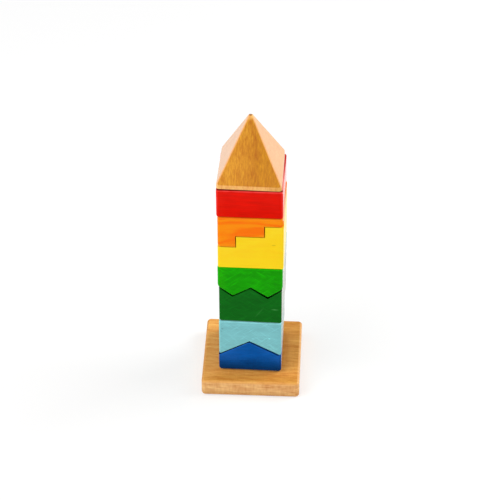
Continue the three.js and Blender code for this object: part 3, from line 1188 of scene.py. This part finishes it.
class TOWER_OT_red_slab(bpy.types.Operator):
    """Make the plain red slab"""

    bl_idname = "tower.red_slab"
    bl_label = "Red Slab"
    bl_options = {"REGISTER", "UNDO"}

    def execute(self, context):
        sizes, seats, colours = user_values(context)
        low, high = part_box("red_block")
        high.z -= sizes.rest_gap
        slab = block_box("red_slab", sizes.block_side, low.z, high.z)
        ease(slab, lambda edge: sizes.block_arris if at_height(high.z)(edge) else sizes.worn_arris)
        bore(slab, sizes, low.z, high.z)
        seat(slab, "red_block", seats.red)
        finish = Finish(
            streak_weight=0.6, scratch_weight=0.08, wear_weight=0.9, wear_lift=0.05, index=1.02, sheen=0.0
        )
        left = Mark(low, mm(5, 30, 60), colours.red_left, 0.5, soft=0.6)
        deep = scaled(colours.red, 0.35)
        # Where the pyramid's foot shades the slab's top, just behind its front edge
        pyramid_shadow_line = (0, low.y + 2.2 * MM, high.z)
        # Painted light and shade on the slab, laid over its wear
        painted_light_marks = (
            # Painted sheen along the front of the slab's upper right edge
            painted_sheen_edge("red_block", colours.red_rubbed),
            # Painted shade: darker red at the back of the upper right edge, standing in for a darker
            # reflection there
            Mark(high, mm(2, 28, 2.5), deep, 0.6, soft=0.6, ragged=0.3),
            # Painted shade: a dark line along the slab's foot, in the joint with the block below
            level_band(low.z, 0.7 * MM, deep, 0.8, ragged=0.0),
            # Painted shadow of the pyramid's foot on the slab's top
            Mark(pyramid_shadow_line, (ENDLESS, 1.3 * MM, 0.6 * MM), deep, 0.9, ragged=0.0),
        )
        red = wood("red_stain", colours.red, finish, seed=9, patches=(left,), painted_light_marks=painted_light_marks)
        complete(slab, "red_block", red)
        return {"FINISHED"}


class TOWER_OT_pyramid(bpy.types.Operator):
    """Make the pyramid with its upright land, rounded tip and blind hole"""

    bl_idname = "tower.pyramid"
    bl_label = "Pyramid"
    bl_options = {"REGISTER", "UNDO"}

    def execute(self, context):
        sizes, seats, colours = user_values(context)
        low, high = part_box("pyramid_top")
        side = sizes.block_side - sizes.pyramid_sanded
        shoulder = low.z + sizes.pyramid_land
        tip = block_box("beech_pyramid", side, low.z, shoulder)
        choose(tip, "FACE", at_height(shoulder))
        bpy.ops.mesh.extrude_region_move(TRANSFORM_OT_translate={"value": (0, 0, high.z - shoulder)})
        share = sizes.tip_half / (side / 2)
        bpy.ops.transform.resize(value=(share, share, 1), center_override=(0, 0, high.z))
        bpy.ops.transform.translate(value=(-sizes.tip_lean, 0, 0))
        tuck(tip, side / 2, Vector((-sizes.pyramid_tuck, -sizes.pyramid_tuck, 0)))
        tuck(tip, side / 2, Vector((sizes.pyramid_tuck_left, -sizes.pyramid_tuck_left, 0)), left=True)

        levels = {high.z: sizes.tip_round, shoulder: sizes.shoulder_round, low.z: sizes.block_arris}

        def radius_of(edge):
            for z, radius in levels.items():
                if at_height(z)(edge):
                    return radius
            return sizes.pyramid_corner if is_upright(edge) else sizes.pyramid_ridge

        ease(tip, radius_of)
        drill(tip, sizes.bore_radius, low.z - sizes.bore_radius, low.z + sizes.pyramid_hole, sizes.bore_rim)
        seat(tip, "pyramid_top", seats.pyramid)
        finish = Finish(
            grain=Z, fibre=mm(1.1, 3, 5.5), mottle=mm(5, 10, 14), ring_weight=0.05, streak_weight=2.0,
            mottle_weight=0.9, channels=BEECH_CHANNELS, fleck_weight=0.2, scratch_weight=0.0, index=1.18,
            sheen=0.35, sheen_spread=0.42,
        )
        end = ((low.x + high.x) / 2 - sizes.tip_lean, (low.y + high.y) / 2, high.z)
        land = sizes.pyramid_land
        land_end = (high.x - 4 * MM, low.y, low.z + land / 2)
        marks = (
            Mark(low, (20 * MM, ENDLESS, ENDLESS), colours.pyramid_left, 1.0, soft=0.4, ragged=0.2),
            Mark(high, (21 * MM, ENDLESS, ENDLESS), colours.pyramid_right, 1.0, soft=0.25, ragged=0.2),
            # Painted light on the left and right faces
            Faces(SIDE_NAME, colours.pyramid_side, contrast=0.3),
            level_band(low.z, land, colours.pyramid_land, 1.0, soft=0.08, ragged=0.0, contrast=0.6),
            Mark(land_end, mm(7, 4, 2.5), colours.pyramid, 0.5, soft=0.6),
            Mark(end, mm(3.2, 3.2, 4.2), colours.pyramid_land, 0.75, soft=0.4, ragged=0.3),
            Mark(end, mm(1.3, 1.3, 0.8), colours.pyramid_tip, 0.9, soft=0.35, ragged=0.0),
            # Painted shadow: a dark line along the pyramid's foot, where it sits on the slab
            level_band(low.z, 0.8 * MM, scaled(colours.pyramid, 0.2), 0.9, ragged=0.0),
        )
        beech = wood("oiled_beech_pyramid", colours.pyramid, finish, seed=10, patches=marks)
        complete(tip, "pyramid_top", beech)
        return {"FINISHED"}


class TOWER_OT_stage(bpy.types.Operator):
    """Set the camera, the soft lamps and the white floor"""

    bl_idname = "tower.stage"
    bl_label = "Stage"
    bl_options = {"REGISTER", "UNDO"}

    def execute(self, context):
        stage = context.scene.tower_stage
        add_camera(context.scene, stage)
        add_floor()
        light_world(context.scene, stage.ambient)
        aim = Vector((0, 0, stage.aim_z))
        add_softbox("softbox_right", Vector((1.15, 0.35, 1.0)), aim, size=0.9, power=stage.right_power)
        add_softbox("softbox_left", Vector((-1.0, -0.5, 1.15)), aim, size=1.4, power=stage.left_power)
        add_softbox("softbox_front", Vector((0.2, -1.6, 0.5)), aim, size=0.8, power=stage.front_power)
        context.scene.view_settings.view_transform = "Standard"
        return {"FINISHED"}


def add_camera(scene, stage):
    deselect()
    bpy.ops.object.camera_add()
    camera = bpy.context.object
    camera.name = "camera"
    camera.data.lens = stage.lens
    camera.data.sensor_width = SENSOR_WIDTH
    rotation = (
        Matrix.Rotation(stage.azimuth, 4, "Z")
        @ Matrix.Rotation(math.pi / 2 - stage.elevation, 4, "X")
        @ Matrix.Rotation(stage.roll, 4, "Z")
    )
    aim = Vector((stage.aim_x, 0, stage.aim_z))
    camera.matrix_world = Matrix.Translation(aim) @ rotation @ Matrix.Translation((0, 0, stage.distance))
    scene.camera = camera


def add_softbox(name, place, aim, size, power):
    deselect()
    bpy.ops.object.light_add(type="AREA", location=place)
    lamp = bpy.context.object
    lamp.name = name
    lamp.rotation_euler = (aim - place).to_track_quat("-Z", "Y").to_euler()
    lamp.data.shape = "SQUARE"
    lamp.data.size = size
    lamp.data.energy = power


def seen_directly(nodes):
    """1 for rays that show a surface, also by reflection or through glass, and 0 for those that light."""
    path = nodes.add("ShaderNodeLightPath", {}).outputs
    shown = path["Is Camera Ray"]
    for kind in ("Is Glossy Ray", "Is Transmission Ray"):
        shown = nodes.calculate("MAXIMUM", shown, path[kind])
    return shown


def add_floor():
    """A wide floor that shows white, with the object's shadow left on it."""
    deselect()
    bpy.ops.mesh.primitive_plane_add(size=FLOOR_SIZE, location=(0, 0, -FLOOR_DROP))
    floor = bpy.context.object
    floor.name = "white_floor"
    material = bpy.data.materials.new("white_floor")
    material.use_nodes = True
    nodes = Nodes(material.node_tree)
    nodes.tree.nodes.clear()

    def matt(white):
        return nodes.add("ShaderNodeBsdfDiffuse", {"Color": (white, white, white, 1)}).outputs[0]

    far = nodes.window(nodes.distance(nodes.coordinates()), *GLOW_RANGE, *GLOW_STRENGTHS, kind="LINEAR")
    glow = nodes.add("ShaderNodeEmission", {"Strength": far}).outputs[0]
    shown = nodes.add("ShaderNodeAddShader", {0: matt(SHOWN_WHITE), 1: glow}).outputs[0]
    shaders = {0: seen_directly(nodes), 1: matt(PAPER_WHITE), 2: shown}
    either = nodes.add("ShaderNodeMixShader", shaders).outputs[0]
    nodes.add("ShaderNodeOutputMaterial", {"Surface": either})
    floor.data.materials.append(material)


def light_world(scene, ambient):
    """A world that shows white and lights the object evenly."""
    world = bpy.data.worlds.new("white_room")
    world.use_nodes = True
    scene.world = world
    nodes = Nodes(world.node_tree)
    sky = nodes.tree.nodes["Background"].inputs
    nodes.put(sky["Color"], (1, 1, 1, 1))
    nodes.put(sky["Strength"], nodes.window(seen_directly(nodes), 0.0, 1.0, ambient, kind="LINEAR"))


class TOWER_PT_sidebar(bpy.types.Panel):
    """Lists the tower's sizes, colours and operators"""

    bl_idname = "TOWER_PT_sidebar"
    bl_label = "Stacking Tower"
    bl_space_type = "VIEW_3D"
    bl_region_type = "UI"
    bl_category = "Tower"

    def draw(self, context):
        for group in (getattr(context.scene, name) for name in GROUPS):
            box = self.layout.box()
            for name in group.bl_rna.properties.keys():
                if name not in ("rna_type", "name"):
                    box.prop(group, name)
        for operator in OPERATORS:
            self.layout.operator(operator.bl_idname)


GROUPS = {
    "tower_sizes": TowerSizes,
    "tower_seats": TowerSeats,
    "tower_colours": TowerColours,
    "tower_stage": TowerStage,
}
OPERATORS = (
    TOWER_OT_base_plate,
    TOWER_OT_dowel_post,
    TOWER_OT_ridge_pair,
    TOWER_OT_tooth_pair,
    TOWER_OT_stair_pair,
    TOWER_OT_red_slab,
    TOWER_OT_pyramid,
    TOWER_OT_stage,
)
CLASSES = (*GROUPS.values(), *OPERATORS, TOWER_PT_sidebar)


def register():
    for one in CLASSES:
        bpy.utils.register_class(one)
    for name, group in GROUPS.items():
        setattr(bpy.types.Scene, name, PointerProperty(type=group))


def unregister():
    for name in GROUPS:
        delattr(bpy.types.Scene, name)
    for one in reversed(CLASSES):
        bpy.utils.unregister_class(one)


def main():
    register()
    bpy.ops.tower.base_plate()
    bpy.ops.tower.dowel_post()
    bpy.ops.tower.ridge_pair()
    bpy.ops.tower.tooth_pair()
    bpy.ops.tower.stair_pair()
    bpy.ops.tower.red_slab()
    bpy.ops.tower.pyramid()
    bpy.ops.tower.stage()


if __name__ == "__main__":
    main()
